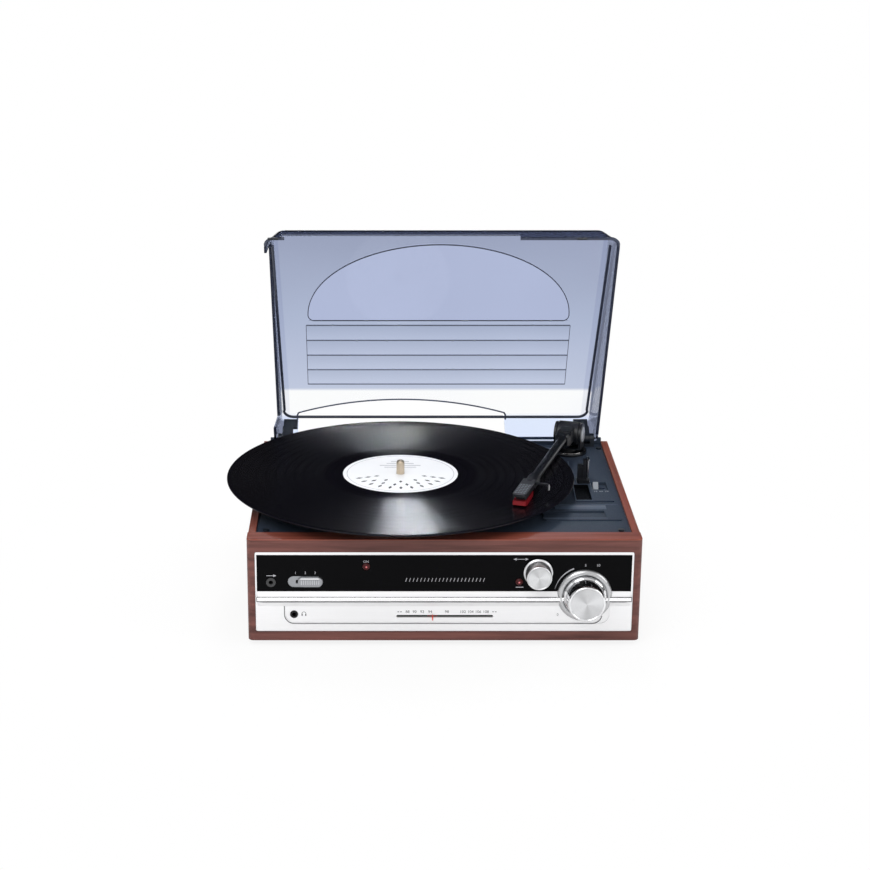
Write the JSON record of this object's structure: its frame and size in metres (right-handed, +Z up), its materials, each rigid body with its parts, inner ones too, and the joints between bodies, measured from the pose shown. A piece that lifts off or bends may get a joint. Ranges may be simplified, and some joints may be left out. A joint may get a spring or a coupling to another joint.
{
  "type": "stereo music centre",
  "caption": "Compact stereo music centre: wood cabinet with a radio fascia, hinged smoked lid, and a record turning under a tonearm.",
  "frame": {"origin": "centre of the underside of the cabinet's base board; the rubber feet stand 4 mm below it", "axes": "+X to the right seen from the front, +Y to the rear, +Z up"},
  "size_m": [0.3463, 0.3016, 0.3131],
  "materials": {
    "wood_veneer": "satin dark walnut veneer",
    "wood_board": "plain fibre board",
    "rubber": "matt",
    "steel": "zinc plated",
    "deck_black": "fine texture",
    "arm_black": "semi-gloss",
    "arm_tube_black": "black lacquer",
    "bright_metal": "polished",
    "brass": "turned",
    "platter_grey": "cast",
    "vinyl": "grooved",
    "label_paper": "printed",
    "stylus_red": "gloss",
    "light_red": "clear lens",
    "silver_plastic": "silver",
    "knob_silver": "spun silver",
    "panel_black": "gloss",
    "inner_plastic": "moulded",
    "board_green": "circuit board",
    "speaker_dark": "matt",
    "lid_smoke": "smoked clear"
  },
  "bodies": {
    "cabinet": {"cabinet_front": "wood_veneer", "cabinet_left": "wood_veneer", "cabinet_right": "wood_veneer", "cabinet_back": "wood_board", "cabinet_base": "wood_board", "corner_blocks": "wood_board", "feet": "rubber", "base_screws": "steel", "deck_plate": "deck_black", "deck_screws": "steel", "bearing_bush": "brass", "motor": "steel", "drive_belt": "rubber", "arm_base": "deck_black", "arm_rest": "deck_black", "arm_clip": "bright_metal", "hinge_bracket_left": "deck_black", "hinge_bracket_right": "deck_black", "hinge_pins": "steel", "fascia_frame": "silver_plastic", "fascia_panel": "panel_black", "trim_bar": "bright_metal", "volume_collar": "silver_plastic", "switch_plate": "silver_plastic", "indicator_lights": "light_red", "headphone_socket": "panel_black", "aux_socket": "panel_black", "dial_backing": "panel_black", "pointer_rail": "steel", "control_board": "board_green", "function_switch": "inner_plastic", "volume_pot": "inner_plastic", "tuning_capacitor": "inner_plastic", "main_board": "board_green", "transformer": "steel", "speaker_left": "speaker_dark", "speaker_right": "speaker_dark", "mains_inlet": "panel_black", "speed_switch": "inner_plastic"},
    "lid": {"lid": "lid_smoke", "lid_bumpers": "rubber", "hinge_leaf_left": "deck_black", "hinge_leaf_right": "deck_black"},
    "platter": {"platter": "platter_grey", "platter_mat": "rubber", "record": "vinyl", "record_label": "label_paper", "spindle": "bright_metal"},
    "pulley": {"motor_pulley": "brass"},
    "arm_swivel": {"arm_yoke": "arm_black"},
    "tonearm": {"arm_barrel": "arm_black", "arm_tube": "arm_tube_black", "headshell": "arm_black", "cartridge": "arm_black", "stylus": "stylus_red"},
    "tuning_knob": {"tuning_knob": "knob_silver"},
    "dial_pointer": {"dial_pointer": "stylus_red"},
    "volume_knob": {"volume_knob": "knob_silver"},
    "function_slider": {"function_slider": "silver_plastic"},
    "speed_knob": {"speed_knob": "arm_black"}
  },
  "joints": [
    {"name": "lid_hinge", "type": "hinge", "parent": "cabinet", "child": "lid", "pos_m": [0, 0.122, 0.094], "axis": [-1, 0, 0], "range_deg": [-62.7, 0]},
    {"name": "platter_spin", "type": "hinge", "parent": "cabinet", "child": "platter", "pos_m": [-0.0345, 0, 0.0973], "axis": [0, 0, -1], "continuous": true},
    {"name": "pulley_spin", "type": "hinge", "parent": "cabinet", "child": "pulley", "pos_m": [-0.1145, 0.028, 0.0893], "axis": [0, 0, -1], "continuous": true},
    {"name": "arm_swing", "type": "hinge", "parent": "cabinet", "child": "arm_swivel", "pos_m": [0.122, 0.1025, 0.09], "axis": [0, 0, 1], "range_deg": [-23, 17.4]},
    {"name": "arm_lift", "type": "hinge", "parent": "arm_swivel", "child": "tonearm", "pos_m": [0.122, 0.1025, 0.105], "axis": [-0.9542, 0.299, 0], "range_deg": [0, 12]},
    {"name": "tuning_turn", "type": "hinge", "parent": "cabinet", "child": "tuning_knob", "pos_m": [0.0766, -0.135, 0.0603], "axis": [0, 1, 0], "range_deg": [-160, 310]},
    {"name": "dial_slide", "type": "slide", "parent": "cabinet", "child": "dial_pointer", "axis": [1, 0, 0], "range_m": [-0.0236, 0.0456]},
    {"name": "volume_turn", "type": "hinge", "parent": "cabinet", "child": "volume_knob", "pos_m": [0.1151, -0.14, 0.0402], "axis": [0, 1, 0], "range_deg": [-60, 240]},
    {"name": "function_slide", "type": "slide", "parent": "cabinet", "child": "function_slider", "axis": [1, 0, 0], "range_m": [-0.0074, 0]},
    {"name": "speed_slide", "type": "slide", "parent": "cabinet", "child": "speed_knob", "axis": [1, 0, 0], "range_m": [0, 0.007]}
  ],
  "couplings": [
    {"joint": "pulley_spin", "follows": "platter_spin", "ratio": 6.977},
    {"joint": "dial_slide", "follows": "tuning_turn", "m_per_rad": 0.0084}
  ]
}
